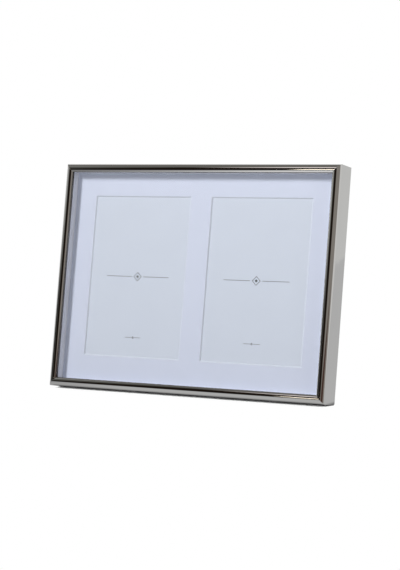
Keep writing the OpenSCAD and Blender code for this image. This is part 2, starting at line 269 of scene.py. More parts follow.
def break_saw_edges(bm, length):
    """Takes the sharpness off the sawn ends where they show, so that the joint reads as a line."""
    shown = []
    for edge in bm.edges:
        on_cut = all(abs(abs(v.co.x) + v.co.z - length / 2) < cut_reach for v in edge.verts)
        middle = (edge.verts[0].co + edge.verts[1].co) / 2
        outside = middle.z < shown_wall or middle.y < seat_depth - clear_step
        if on_cut and outside:
            shown.append(edge)
    bmesh.ops.bevel(bm, geom=shown, offset=saw_break, segments=1, profile=0.5, affect="EDGES",
                    material=-1)


def round_foot(bm):
    """Rounds the lower back end of an upright rail along the arc on which the frame rests."""
    step = quarter / foot_steps
    centre = Vector((0, rail_depth - foot_radius, foot_radius))
    for k in range(foot_steps):
        angle = (k + 0.5) * step
        normal = Vector((0, math.cos(angle), -math.sin(angle)))
        cut_away(bm, centre + normal * foot_radius * math.cos(step / 2), normal)
    bmesh.ops.remove_doubles(bm, verts=bm.verts[:], dist=weld_reach)


metal_finish, into, out = new_group(
    "metal_finish",
    {"Place": "Vector", "Smudge": "Float", "Rub": "Float", "Base Roughness": "Float"},
    {"Roughness": "Float", "Lines": "Float", "Wave": "Float", "Tone": "Float"},
)
smudge = noise(metal_finish, into.outputs["Place"], 55, 4, roughness=0.6)
smudge_mask = ramp(metal_finish, smudge, (0.48, 0.72), smooth=True)
stretch = put(metal_finish, "VectorMath", {0: into.outputs["Place"], 1: (0.02, 1, 1)},
              operation="MULTIPLY")
lines = noise(metal_finish, stretch.outputs[0], 5200, 3, roughness=0.7)
wave_stretch = put(metal_finish, "VectorMath", {0: into.outputs["Place"], 1: (0.35, 1, 1)},
                   operation="MULTIPLY")
wave = noise(metal_finish, wave_stretch.outputs[0], 130, 1, roughness=0.4)
tone = noise(metal_finish, into.outputs["Place"], 18, 2)
pits = put(metal_finish, "TexVoronoi", {"Vector": into.outputs["Place"], "Scale": 420},
           feature="F1")
pit_mask = ramp(metal_finish, pits.outputs["Distance"], (0.06, 0.12), (1, 0))
rubbed = calc(metal_finish, "MULTIPLY", lines, into.outputs["Rub"])
smudged = calc(metal_finish, "MULTIPLY_ADD", smudge_mask, into.outputs["Smudge"], rubbed)
pitted = calc(metal_finish, "MULTIPLY_ADD", pit_mask, into.outputs["Smudge"], smudged)
roughness = calc(metal_finish, "ADD", pitted, into.outputs["Base Roughness"], clamp=True)
for label, source in (("Roughness", roughness), ("Lines", lines), ("Wave", wave),
                      ("Tone", tone)):
    metal_finish.links.new(source, out.inputs[label])


def metal(name, light, dark, roughness, smudge, rub, line_depth, wave_depth, attribute=None):
    """A metal whose finish comes from the group: two tones, and the depths of its marks."""
    material, tree, shader = new_material(name)
    if attribute is None:
        place = put(tree, "TexCoord").outputs["Object"]
    else:
        place = put(tree, "Attribute", attribute_name=attribute).outputs["Vector"]
    finish = put(tree, "Group", {"Place": place, "Smudge": smudge, "Rub": rub,
                                 "Base Roughness": roughness}, node_tree=metal_finish)
    tint = blend(tree, finish.outputs["Tone"], (*dark, 1), (*light, 1))
    tree.links.new(tint, shader.inputs["Base Color"])
    tree.links.new(finish.outputs["Roughness"], shader.inputs["Roughness"])
    wavy = put(tree, "Bump", {"Height": finish.outputs["Wave"], "Strength": 1,
                              "Distance": wave_depth})
    lined = put(tree, "Bump", {"Height": finish.outputs["Lines"], "Strength": 1,
                               "Distance": line_depth, "Normal": wavy.outputs[0]})
    tree.links.new(lined.outputs[0], shader.inputs["Normal"])
    shader.inputs["Metallic"].default_value = 1
    return material, tree, shader, tint, finish.outputs["Roughness"]


nickel_light = (0.674, 0.671, 0.666)
nickel_dark = (0.635, 0.631, 0.624)
# Painted shade for the lip's inner edge, and the roughness there.
lip_edge_painted_shade = (0.12, 0.115, 0.11)
edge_roughness = 0.30
edge_span = (face_width - 0.0004, face_width - 0.0001)
polished_nickel, tree, shader, tint, gloss = metal(
    "polished_nickel", nickel_light, nickel_dark, roughness=0.02, smudge=0.03, rub=0.02,
    line_depth=3e-8, wave_depth=1.2e-6, attribute="rail_place")
# The lip's inner edge has a rougher finish, and its colour is darkened there as painted shade.
edge_place = put(tree, "Attribute", attribute_name="rail_place").outputs["Vector"]
edge_axes = put(tree, "SeparateXYZ", {0: edge_place})
lip_shade_mask = ramp(tree, edge_axes.outputs["Z"], edge_span, smooth=True)
lip_shaded_tint = blend(tree, lip_shade_mask, tint, (*lip_edge_painted_shade, 1))
edge_gloss = blend(tree, lip_shade_mask, gloss, edge_roughness, "FLOAT")
tree.links.new(lip_shaded_tint, shader.inputs["Base Color"])
tree.links.new(edge_gloss, shader.inputs["Roughness"])

rail_places = {
    "rail_bottom": (frame_width, foot_radius, Matrix.Identity(4)),
    "rail_top": (frame_width, back_radius,
                 Matrix.Translation((0, 0, frame_height)) @ Matrix.Scale(-1, 4, (0, 0, 1))),
    "rail_left": (frame_height, back_radius,
                  Matrix.Translation((-frame_width / 2, 0, frame_height / 2))
                  @ Matrix.Rotation(quarter, 4, "Y")),
    "rail_right": (frame_height, back_radius,
                   Matrix.Scale(-1, 4, (1, 0, 0))
                   @ Matrix.Translation((-frame_width / 2, 0, frame_height / 2))
                   @ Matrix.Rotation(quarter, 4, "Y")),
}
for name, (length, back_edge, place) in rail_places.items():
    bm = rail_blank(length, back_edge)
    bmesh.ops.transform(bm, matrix=place, verts=bm.verts[:])
    if length == frame_height:
        round_foot(bm)
    bmesh.ops.transform(bm, matrix=stand, verts=bm.verts[:])
    finish_mesh(bm, name.replace("rail_", "polished_rail_"), [polished_nickel], "frame", [name])


# Glass pane: 2 mm float glass, cut to size and laid in from the back against the rails' lip.
# The spacer strips behind it hold it there. Light passes through it without a shadow.
glass_tint = (0.985, 0.992, 0.99)
dust_span = (0.5, 0.9)
dust_roughness = 0.02


def give(material, *names):
    """Puts a material on CAD nodes in place of the plain one."""
    for name in names:
        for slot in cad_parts[name].material_slots:
            slot.material = material


pane_glass, tree, shader = new_material("pane_glass")
shader.inputs["Base Color"].default_value = (*glass_tint, 1)
shader.inputs["Transmission Weight"].default_value = 1
shader.inputs["IOR"].default_value = 1.5
dust = noise(tree, put(tree, "TexCoord").outputs["Object"], 30, 5)
tree.links.new(ramp(tree, dust, dust_span, (0, dust_roughness)), shader.inputs["Roughness"])
give(pane_glass, "glass_pane")
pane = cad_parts["glass_pane"]
pane.visible_shadow = False
pane.visible_diffuse = False


# Spacer strips: four strips of white-faced card, laid loose behind the glass along the rails.
# They keep the mat away from the glass, and their white faces show as the walls between the two.
paper_grain, into, out = new_group(
    "paper_grain",
    {"Place": "Vector", "Light": "Color", "Dark": "Color", "Fibre Scale": "Float"},
    {"Color": "Color", "Height": "Float"},
)
fibre = noise(paper_grain, into.outputs["Place"], into.outputs["Fibre Scale"], 4,
              roughness=0.75, distortion=0.6)
mottle = noise(paper_grain, into.outputs["Place"], 70, 3)
blotch_mask = ramp(paper_grain, calc(paper_grain, "ADD", fibre, mottle), (0.6, 1.4))
grain_colour = blend(paper_grain, blotch_mask, into.outputs["Dark"], into.outputs["Light"])
paper_grain.links.new(grain_colour, out.inputs["Color"])
paper_grain.links.new(fibre, out.inputs["Height"])


def paper(name, light, dark, fibre_scale, depth, roughness=0.9):
    """A paper or card surface whose mottle and fibres come from the group."""
    material, tree, shader = new_material(name)
    place = put(tree, "TexCoord").outputs["Object"]
    grain = put(tree, "Group", {"Place": place, "Light": (*light, 1), "Dark": (*dark, 1),
                                "Fibre Scale": fibre_scale}, node_tree=paper_grain)
    tree.links.new(grain.outputs["Color"], shader.inputs["Base Color"])
    bump = put(tree, "Bump", {"Height": grain.outputs["Height"], "Strength": 1,
                              "Distance": depth})
    tree.links.new(bump.outputs[0], shader.inputs["Normal"])
    shader.inputs["Roughness"].default_value = roughness
    return material, tree, shader, grain


spacer_paper = paper("spacer_paper", light=(0.86, 0.87, 0.93), dark=(0.82, 0.83, 0.89),
                     fibre_scale=1500, depth=1e-5)[0]
give(spacer_paper, "spacer_top", "spacer_bottom", "spacer_left", "spacer_right")


# Mat board: white-cored board with a pale lilac face paper. Its two windows are cut with a
# blade held at 45 degrees, so that the core shows as a bevel.
lay_in_gap = 0.0003
lay_in_width = frame_width - 2 * (rim_width + lay_in_gap)
lay_in_height = frame_height - 2 * (rim_width + lay_in_gap)
window_width = 0.088
window_height = 0.129
window_gap = 0.0185
window_lift = 0.0009
mat_bevel = 0.0009
mat_face = paper("mat_face", light=(0.730, 0.783, 0.938), dark=(0.706, 0.758, 0.912),
                 fibre_scale=900, depth=1.5e-5)[0]
mat_core = paper("mat_core", light=(0.76, 0.80, 0.90), dark=(0.71, 0.75, 0.85),
                 fibre_scale=2500, depth=2e-5)[0]


def cut_sheet(bm, verts, point, normal):
    """Cuts a sheet across without taking anything away, and returns all its points."""
    faces = {f for v in verts for f in v.link_faces}
    edges = {e for f in faces for e in f.edges}
    cut = bmesh.ops.bisect_plane(bm, geom=[*verts, *edges, *faces], plane_co=point,
                                 plane_no=normal, dist=weld_reach)
    return set(verts) | set(pick(bmesh.types.BMVert, cut["geom_cut"]))


def mat_sheet(bm, depth, shrink):
    """One face of the mat, with its two windows cut out. Returns all its points."""
    middle_z = frame_height / 2
    window_z = middle_z + window_lift
    grid = bmesh.ops.create_grid(bm, x_segments=1, y_segments=1, size=0.5)
    matrix = (Matrix.Translation((0, depth, middle_z)) @ Matrix.Rotation(quarter, 4, "X")
              @ Matrix.Diagonal((lay_in_width, lay_in_height, 1, 1)))
    bmesh.ops.transform(bm, matrix=matrix, verts=grid["verts"])
    points = set(grid["verts"])
    inner = window_gap / 2 + shrink
    outer = window_gap / 2 + window_width - shrink
    half_height = window_height / 2 - shrink
    for side in (-1, 1):
        for x in (inner, outer):
            points = cut_sheet(bm, points, (side * x, 0, 0), (1, 0, 0))
        points = cut_sheet(bm, points, (0, 0, window_z + side * half_height), (0, 0, 1))
    windows = []
    for face in {f for v in points for f in v.link_faces}:
        centre = face.calc_center_median()
        if inner < abs(centre.x) < outer and abs(centre.z - window_z) < half_height:
            windows.append(face)
    bmesh.ops.delete(bm, geom=windows, context="FACES")
    return [v for v in points if v.is_valid]


def open_loop(verts, inside):
    """The open edges of a sheet whose middle passes a test."""
    edges = {e for v in verts for e in v.link_edges if len(e.link_faces) == 1}
    return [e for e in edges if inside((e.verts[0].co + e.verts[1].co) / 2)]


rim_x = lay_in_width / 2 - clear_step
rim_z = lay_in_height / 2 - clear_step
loops = [
    (0, lambda p: abs(p.x) > rim_x or abs(p.z - frame_height / 2) > rim_z),
    (1, lambda p: -rim_x < p.x < 0 and abs(p.z - frame_height / 2) < rim_z),
    (1, lambda p: 0 < p.x < rim_x and abs(p.z - frame_height / 2) < rim_z),
]
bm = bmesh.new()
front_sheet = mat_sheet(bm, mat_depth, 0)
back_sheet = mat_sheet(bm, print_depth, mat_bevel)
loop_pairs = [(kind, open_loop(front_sheet, inside) + open_loop(back_sheet, inside))
              for kind, inside in loops]
for kind, edges in loop_pairs:
    made = bmesh.ops.bridge_loops(bm, edges=edges)
    for face in made["faces"]:
        face.material_index = kind
bmesh.ops.transform(bm, matrix=stand, verts=bm.verts[:])
finish_mesh(bm, "window_mat", [mat_face, mat_core], "frame", ["mat_board"])


# Paper inserts: a loose pale sheet behind each window, plain but for a small printed ornament
# in the middle and a smaller one below it.
ornament_size = 0.0034
rule_start_share = 1.6
rule_end_share = 8.4
rule_half = 0.00019
outline_weight = 1.6
core_share = 0.38
mark_size = 0.00085
mark_drop = 0.0486
mark_rule_half = 0.00016
ink_edge = 0.00006
ink = (0.07, 0.075, 0.09)
window_x = (window_gap + window_width) / 2
window_z = frame_height / 2 + window_lift


def under(tree, value, limit, soft):
    """1 where a value is under a limit, with a soft edge."""
    return ramp(tree, value, (limit - soft, limit + soft), (1, 0), smooth=True)


def motif(tree, across, up, size, half_line):
    """A lozenge with a core, between two thin rules. Takes distances from its middle."""
    rise = calc(tree, "ABSOLUTE", up)
    reach = calc(tree, "DIVIDE", calc(tree, "ADD", across, rise), size)
    off_line = calc(tree, "ABSOLUTE", calc(tree, "SUBTRACT", reach, 1))
    outline = under(tree, off_line, half_line / size * outline_weight, ink_edge / size)
    core = under(tree, reach, core_share, ink_edge / size)
    rule = calc(tree, "MULTIPLY", under(tree, rise, half_line, ink_edge),
                under(tree, across, size * rule_end_share, ink_edge))
    gap = under(tree, across, size * rule_start_share, ink_edge)
    rule = calc(tree, "MULTIPLY", rule, calc(tree, "SUBTRACT", 1, gap))
    return calc(tree, "MAXIMUM", rule, calc(tree, "MAXIMUM", outline, core))


print_ornament, into, out = new_group("print_ornament", {"Place": "Vector"}, {"Ink": "Float"})
from_foot = put(print_ornament, "VectorMath", {0: into.outputs["Place"], 1: stand_place},
                operation="SUBTRACT")
height = put(print_ornament, "VectorMath", {0: from_foot.outputs[0],
                                            1: (0, math.sin(lean), math.cos(lean))},
             operation="DOT_PRODUCT")
axes = put(print_ornament, "SeparateXYZ", {0: into.outputs["Place"]})
from_middle = calc(print_ornament, "ABSOLUTE", axes.outputs["X"])
off_window = calc(print_ornament, "SUBTRACT", from_middle, window_x)
across = calc(print_ornament, "ABSOLUTE", off_window)
above_middle = calc(print_ornament, "SUBTRACT", height.outputs["Value"], window_z)
above_mark = calc(print_ornament, "ADD", above_middle, mark_drop)
ornament = motif(print_ornament, across, above_middle, ornament_size, rule_half)
mark = motif(print_ornament, across, above_mark, mark_size, mark_rule_half)
print_ornament.links.new(calc(print_ornament, "MAXIMUM", ornament, mark), out.inputs["Ink"])

insert_paper, tree, shader, grain = paper(
    "insert_paper", light=(0.715, 0.775, 0.890), dark=(0.690, 0.748, 0.862), fibre_scale=1200,
    depth=6e-6, roughness=0.75)
place = put(tree, "TexCoord").outputs["Object"]
printed = put(tree, "Group", {"Place": place}, node_tree=print_ornament)
inked = blend(tree, printed.outputs["Ink"], grain.outputs["Color"], (*ink, 1))
tree.links.new(inked, shader.inputs["Base Color"])
give(insert_paper, "print_left", "print_right")


# Filler card: brown strawboard, cut to the mat's size and laid loose behind the inserts. It
# presses them flat to the mat.
strawboard = paper("strawboard", light=(0.42, 0.34, 0.25), dark=(0.33, 0.26, 0.18),
                   fibre_scale=700, depth=4e-5)[0]
give(strawboard, "filler_card")


# Back board: 3 mm fibreboard faced with black flock paper, whose short upright fibres catch
# light at a low angle. It is laid in last and held by the turn buttons.
flock_light = (0.030, 0.030, 0.033)
flock_dark = (0.010, 0.010, 0.011)
flock_depth = 1.2e-4
flock_nap, into, out = new_group(
    "flock_nap",
    {"Place": "Vector", "Light": "Color", "Dark": "Color"},
    {"Color": "Color", "Height": "Float"},
)
nap = noise(flock_nap, into.outputs["Place"], 3800, 2, roughness=0.8)
brushed = noise(flock_nap, into.outputs["Place"], 120, 3, roughness=0.4)
nap_mask = ramp(flock_nap, calc(flock_nap, "MULTIPLY", nap, brushed), (0.05, 0.48))
nap_colour = blend(flock_nap, nap_mask, into.outputs["Dark"], into.outputs["Light"])
flock_nap.links.new(nap_colour, out.inputs["Color"])
flock_nap.links.new(nap, out.inputs["Height"])

black_flock, tree, shader = new_material("black_flock")
place = put(tree, "TexCoord").outputs["Object"]
napped = put(tree, "Group", {"Place": place, "Light": (*flock_light, 1), "Dark": (*flock_dark, 1)},
             node_tree=flock_nap)
tree.links.new(napped.outputs["Color"], shader.inputs["Base Color"])
bump = put(tree, "Bump", {"Height": napped.outputs["Height"], "Strength": 1,
                          "Distance": flock_depth})
tree.links.new(bump.outputs[0], shader.inputs["Normal"])
shader.inputs["Roughness"].default_value = 1
shader.inputs["Specular IOR Level"].default_value = 0.15
shader.inputs["Sheen Weight"].default_value = 0.35
shader.inputs["Sheen Roughness"].default_value = 0.4
shader.inputs["Sheen Tint"].default_value = (0.5, 0.5, 0.55, 1)
give(black_flock, "back_board")


# Corner keys and screws: zinc-plated steel angles slid into the hollow rails, one at each
# corner. Small set screws lock them to both rails and so hold the mitres closed.
zinc_steel = metal("zinc_steel", light=(0.60, 0.62, 0.64), dark=(0.47, 0.49, 0.52),
                   roughness=0.32, smudge=0.2, rub=0.15, line_depth=8e-7, wave_depth=3e-5)[0]
give(zinc_steel, "corner_key_top_left", "corner_key_top_right", "corner_key_bottom_left",
     "corner_key_bottom_right", "key_screws")


# Turn buttons: nickel-plated steel blanked to a round tip, with its tail bent up for the thumb.
# Each turns on a rivet, and its tip slides into the groove of a rail.
button_reach = 0.0105
button_half = 0.0035
button_tail = 0.0045
tip_corner = 0.00349
thumb_thickness = 0.0009
thumb_rise = 0.002
button_edge = 0.00022
edge_steps = 2
rivet_radius = 0.001
rivet_clear = 0.002
run_gap = 0.00005
tip_gap = 0.0003
hole_steps = 24
corner_steps = 8
corner_weld = 1e-6
sharp_angle = math.radians(50)
outward = 0.9
plated_steel = metal("plated_steel", light=(0.66, 0.66, 0.67), dark=(0.55, 0.55, 0.56),
                     roughness=0.18, smudge=0.12, rub=0.12, line_depth=4e-7,
                     wave_depth=1.5e-5)[0]


def blank_sheet(bm, corners, rounded, radius, holes, front, thickness):
    """A sheet blanked in x and z, with some corners rounded and rivet holes, then thickened."""
    verts = [bm.verts.new((x, front, z)) for x, z in corners]
    bm.faces.new(verts)
    bmesh.ops.bevel(bm, geom=[verts[k] for k in rounded], offset=radius, segments=corner_steps,
                    profile=0.5, affect="VERTICES", material=-1)
    bmesh.ops.remove_doubles(bm, verts=bm.verts[:], dist=corner_weld)
    bmesh.ops.delete(bm, geom=bm.faces[:], context="FACES_ONLY")
    for x, z in holes:
        place = Matrix.Translation((x, front, z)) @ Matrix.Rotation(quarter, 4, "X")
        bmesh.ops.create_circle(bm, segments=hole_steps, radius=rivet_radius + run_gap,
                                matrix=place)
    filled = bmesh.ops.triangle_fill(bm, use_beauty=True, use_dissolve=True, edges=bm.edges[:])
    draw_out(bm, pick(bmesh.types.BMFace, filled["geom"]), (0, thickness, 0))
    bmesh.ops.recalc_face_normals(bm, faces=bm.faces[:])


def soften(bm, width, chosen):
    """Rounds the sharp edges whose middle passes a test."""
    sharp = []
    for edge in bm.edges:
        if len(edge.link_faces) != 2 or edge.calc_face_angle() < sharp_angle:
            continue
        if chosen((edge.verts[0].co + edge.verts[1].co) / 2):
            sharp.append(edge)
    bmesh.ops.bevel(bm, geom=sharp, offset=width, segments=edge_steps, profile=0.5,
                    affect="EDGES", material=-1)


def turn_button():
    """A turn button along x, its rivet hole at the origin and its underside at y = 0."""
    bm = bmesh.new()
    corners = [
        (-button_tail, -button_half),
        (button_reach, -button_half),
        (button_reach, button_half),
        (-button_tail, button_half),
    ]
    blank_sheet(bm, corners, (1, 2), tip_corner, [(0, 0)], 0, button_thickness)
    bend = thumb_thickness - button_tail
    geometry = bm.verts[:] + bm.edges[:] + bm.faces[:]
    bmesh.ops.bisect_plane(bm, geom=geometry, plane_co=(bend, 0, 0), plane_no=(1, 0, 0),
                           dist=weld_reach)
    bm.normal_update()
    tail = [f for f in bm.faces if f.normal.y > outward and f.calc_center_median().x < bend]
    bent = bmesh.ops.extrude_face_region(bm, geom=tail)
    bmesh.ops.translate(bm, verts=pick(bmesh.types.BMVert, bent["geom"]), vec=(0, thumb_rise, 0))
    bmesh.ops.delete(bm, geom=tail, context="FACES")
    bmesh.ops.recalc_face_normals(bm, faces=bm.faces[:])
    soften(bm, button_edge, lambda p: math.hypot(p.x, p.z) > rivet_clear)
    return bm


button_in = outer_wall + tip_gap + button_reach
button_front = board_back + slide_gap
button_places = {
    # where its rivet is in x and z, and the way its tip points, in degrees
    "top_left": (-0.040, frame_height - button_in, -90),
    "top_right": (0.040, frame_height - button_in, -90),
    "bottom_left": (-0.070, button_in, 90),
    "bottom_right": (0.070, button_in, 90),
    "left": (button_in - frame_width / 2, 0.090, 180),
    "right": (frame_width / 2 - button_in, 0.090, 0),
}
for name, (x, z, angle) in button_places.items():
    bm = turn_button()
    place = (stand @ Matrix.Translation((x, button_front, z))
             @ Matrix.Rotation(math.radians(angle), 4, "Y"))
    bmesh.ops.transform(bm, matrix=place, verts=bm.verts[:])
    finish_mesh(bm, "steel_button_" + name, [plated_steel], "button_" + name,
                ["turn_button_" + name])
give(plated_steel, "button_rivets")


# Hinge: a leaf on the board and a leaf on the strut, each a steel sheet whose fingers are rolled
# round the pin, leaving the seam of the roll open.
hinge_width = 0.026
hinge_height = 0.128
leaf_thickness = 0.0007
leaf_reach = 0.014
leaf_corner = 0.0015
leaf_edge = 0.00014
pin_radius = 0.0008
knuckle_radius = 0.0015
knuckle_gap = 0.0002
knuckle_count = 5
roll_end = math.radians(296)
roll_points = 32
knuckle_length = hinge_width / knuckle_count
knuckle_room = knuckle_radius + knuckle_gap
leaf_rivet_x = hinge_width * 0.3
leaf_rivet_z = (knuckle_radius + leaf_reach) / 2
pin_depth = board_back + slide_gap + knuckle_radius
strut_open = math.radians(17)
hinge_line = stand @ Matrix.Translation((0, pin_depth, hinge_height))
strut_line = hinge_line @ Matrix.Rotation(strut_open, 4, "X")


def rolled_strip(bm, low_x, high_x, radius, bore, thickness, reach):
    """A strip that comes in along z and is rolled round a line on x, its seam left open."""
    others = set(bm.faces)
    outer = bm.verts.new((low_x, -radius, 0))
    inner = bm.verts.new((low_x, -bore, 0))
    start = bm.edges.new((outer, inner))
    bmesh.ops.spin(bm, geom=[outer, inner, start], cent=(low_x, 0, 0), axis=(1, 0, 0),
                   angle=roll_end, steps=roll_points)
    leg = bmesh.ops.extrude_edge_only(bm, edges=[start])
    for vert in pick(bmesh.types.BMVert, leg["geom"]):
        shift = thickness - radius + bore if vert.co.y > -(radius + bore) / 2 else 0
        bmesh.ops.translate(bm, verts=[vert], vec=(0, shift, reach))
    draw_out(bm, [f for f in bm.faces if f not in others], (high_x - low_x, 0, 0))


def off_rivets(point, places):
    """True where a point is clear of the rivet holes at some places in x and z."""
    return all(math.hypot(point.x - x, point.z - z) > rivet_clear for x, z in places)


def hinge_leaf(fingers):
    """A leaf going up from the pin line, with its rolled fingers counted from the left."""
    bm = bmesh.new()
    half = hinge_width / 2
    corners = [(-half, knuckle_room), (half, knuckle_room), (half, leaf_reach), (-half, leaf_reach)]
    holes = [(-leaf_rivet_x, leaf_rivet_z), (leaf_rivet_x, leaf_rivet_z)]
    blank_sheet(bm, corners, (2, 3), leaf_corner, holes, -knuckle_radius, leaf_thickness)
    soften(bm, leaf_edge, lambda p: p.z > knuckle_room + clear_step and off_rivets(p, holes))
    for finger in fingers:
        low_x = finger * knuckle_length + knuckle_gap / 2 - half
        rolled_strip(bm, low_x, low_x + knuckle_length - knuckle_gap, knuckle_radius,
                     pin_radius + run_gap, leaf_thickness, knuckle_room)
    return bm


leaf_places = {
    "board_leaf": ((1, 3), hinge_line, "frame"),
    "strut_leaf": ((0, 2, 4), strut_line @ Matrix.Scale(-1, 4, (0, 0, 1)), "strut"),
}
for name, (fingers, place, body) in leaf_places.items():
    bm = hinge_leaf(fingers)
    bmesh.ops.transform(bm, matrix=place, verts=bm.verts[:])
    finish_mesh(bm, "rolled_" + name, [plated_steel], body, [name])
give(plated_steel, "board_leaf_rivets", "strut_rivets", "hinge_pin")


# Strut: the same fibreboard and flock paper as the back, wider at its foot, notched round the
# hinge, with its edges rubbed round. It is drawn a little long, and its foot cut along the table.
strut_thickness = 0.003
strut_top_half = 0.021
strut_foot_half = 0.029
strut_reach = 0.131
strut_edge = 0.0004
notch_gap = 0.0012
stop_gap = 0.00003
drawn_share = 1.02
strut_face = leaf_thickness - knuckle_radius
stop_reach = ((strut_face * math.cos(strut_open) + pin_depth - board_back - stop_gap)
              / math.sin(strut_open))
foot_half = strut_top_half + (strut_foot_half - strut_top_half) * drawn_share
notch_half = hinge_width / 2 + notch_gap
outline = [
    (-strut_top_half, stop_reach),
    (-foot_half, -strut_reach),
    (foot_half, -strut_reach),
    (strut_top_half, stop_reach),
    (notch_half, stop_reach),
    (notch_half, -knuckle_room),
    (-notch_half, -knuckle_room),
    (-notch_half, stop_reach),
]
holes = [(-leaf_rivet_x, -leaf_rivet_z), (leaf_rivet_x, -leaf_rivet_z)]
bm = bmesh.new()
blank_sheet(bm, outline, (), 0, holes, strut_face, strut_thickness)
soften(bm, strut_edge, lambda p: off_rivets(p, holes))
bmesh.ops.transform(bm, matrix=strut_line, verts=bm.verts[:])
cut_away(bm, (0, 0, 0), (0, 0, -1))
finish_mesh(bm, "flocked_strut", [black_flock], "strut", ["strut_board"])


# Hangers: a steel strap rolled into an eye at its top and riveted below, and a loose triangle
# of bent wire that turns in the eye.
hanger_x = 0.075
hanger_z = 0.150
wire_radius = 0.0007
strap_half = 0.0045
strap_length = 0.012
strap_thickness = 0.0008
strap_corner = 0.0012
strap_rivet_z = strap_length * 2 / 3
eye_radius = wire_radius + run_gap + strap_thickness
eye_room = 0.0017
for name, side in (("left", -1), ("right", 1)):
    bm = bmesh.new()
    outline = [(-strap_half, eye_room), (strap_half, eye_room), (strap_half, strap_length),
               (-strap_half, strap_length)]
    holes = [(0, strap_rivet_z)]
    blank_sheet(bm, outline, (2, 3), strap_corner, holes, -eye_radius, strap_thickness)
    soften(bm, leaf_edge, lambda p: p.z > eye_room + clear_step and off_rivets(p, holes))
    rolled_strip(bm, -strap_half, strap_half, eye_radius, wire_radius + run_gap, strap_thickness,
                 eye_room)
    place = (stand @ Matrix.Translation((side * hanger_x, board_back + eye_radius, hanger_z))
             @ Matrix.Scale(-1, 4, (0, 0, 1)))
    bmesh.ops.transform(bm, matrix=place, verts=bm.verts[:])
    finish_mesh(bm, "rolled_strap_" + name, [plated_steel], "frame", ["hanger_strap_" + name])
give(plated_steel, "hanger_ring_left", "hanger_ring_right", "hanger_rivets")


# Floor: a plain white table top. For the camera it glows pure white, with a painted contact shadow
# along the frame's foot. In the metal it glows at painted levels: dimmer to the left, painted shade
# in front of the frame, behind it, at its foot and at grazing angles, and a painted dark stand to
# the front left.
floor_size = 40
floor_white = 0.50
contact_reach = 0.012
contact_samples = 24
contact_exposure = 12.0
contact_power = 3.0
mirrored_exposure = 2.0
left_span = (-0.28, -0.06)
left_levels = (0.25, 0.90)
near_span = (-0.14, -0.05)
near_levels = (1, 0.66)
back_span = (-0.03, 0.03)
back_level = 0.60
side_span = (frame_width / 2, frame_width / 2 + 0.010)
grazing_span = (0.74, 0.88)
stand_turn = math.radians(-27)
stand_span = (0.60, 0.75)
bm = bmesh.new()
bmesh.ops.create_grid(bm, x_segments=1, y_segments=1, size=floor_size / 2)
table_white, tree, shader = new_material("table_white")
shader.inputs["Base Color"].default_value = (floor_white, floor_white, floor_white, 1)
shader.inputs["Roughness"].default_value = 1
shader.inputs["Specular IOR Level"].default_value = 0
place = put(tree, "TexCoord").outputs["Object"]
axes = put(tree, "SeparateXYZ", {0: place})
# Painted contact shadow: the glow darkens where the occlusion node finds the frame close by.
occluded = put(tree, "AmbientOcclusion", {"Distance": contact_reach}, samples=contact_samples)
open_sky = occluded.outputs["AO"]
exposed = calc(tree, "MULTIPLY", open_sky, contact_exposure)
seen_level = calc(tree, "POWER", exposed, contact_power, clamp=True)

# Painted levels for the metal: dimmer to the left, and painted shade close in front of the frame
# and behind it.
left_fall = ramp(tree, axes.outputs["X"], left_span, left_levels)
near_fall = ramp(tree, axes.outputs["Y"], near_span, near_levels)
behind = ramp(tree, axes.outputs["Y"], back_span)
beside = ramp(tree, axes.outputs["X"], side_span)
lit = blend(tree, behind, calc(tree, "MULTIPLY", left_fall, near_fall), back_level, "FLOAT")
# Painted shade: in front of the frame and not to its right, the floor seen at a grazing angle goes
# dark.
facing = put(tree, "LayerWeight", {"Blend": 0.5}).outputs["Facing"]
steep = ramp(tree, facing, grazing_span, (1, 0), smooth=True)
not_front = calc(tree, "MAXIMUM", steep, calc(tree, "MAXIMUM", behind, beside))
# Painted dark stand: past a line to the front left, the floor in the metal goes dark.
away = put(tree, "VectorMath", {0: place, 1: (math.sin(stand_turn), -math.cos(stand_turn), 0)},
           operation="DOT_PRODUCT")
before_stand = ramp(tree, away.outputs["Value"], stand_span, (1, 0), smooth=True)
mirrored = calc(tree, "MULTIPLY", lit, calc(tree, "MULTIPLY", before_stand, not_front))
# Painted contact shadow in the metal too, from the same occlusion.
mirrored_contact_shade = calc(tree, "MULTIPLY", open_sky, mirrored_exposure, clamp=True)
mirrored_level = calc(tree, "MULTIPLY", mirrored, mirrored_contact_shade)

path = put(tree, "LightPath")
level = blend(tree, path.outputs["Is Camera Ray"], mirrored_level, seen_level, "FLOAT")
glow = put(tree, "Emission", {"Strength": level})
glowing = calc(tree, "MAXIMUM", path.outputs["Is Camera Ray"], path.outputs["Is Glossy Ray"])
choice = put(tree, "MixShader", {0: glowing, 1: shader.outputs[0], 2: glow.outputs[0]})
tree.links.new(choice.outputs[0], tree.nodes["Material Output"].inputs["Surface"])
new_object(bm, "table_top", [table_white])


# Studio: white all round for the camera, also through the glass, and a soft even light for
# everything else. It has no walls of its own.
ambient = 0.11
ambient_tint = (0.97, 0.98, 1.0)
world = bpy.data.worlds.new("studio")
bpy.context.scene.world = world
world.use_nodes = True
tree = world.node_tree
background = tree.nodes["Background"]
background.inputs["Color"].default_value = (*ambient_tint, 1)
background.inputs["Strength"].default_value = ambient
white = put(tree, "Background", {"Color": (1, 1, 1, 1), "Strength": 1})
path = put(tree, "LightPath")
seen = calc(tree, "ADD", path.outputs["Is Camera Ray"], path.outputs["Is Glossy Ray"])
seen_all = calc(tree, "ADD", seen, path.outputs["Is Transmission Ray"], clamp=True)
choice = put(tree, "MixShader", {0: seen_all, 1: background.outputs[0], 2: white.outputs[0]})
tree.links.new(choice.outputs[0], tree.nodes["World Output"].inputs["Surface"])


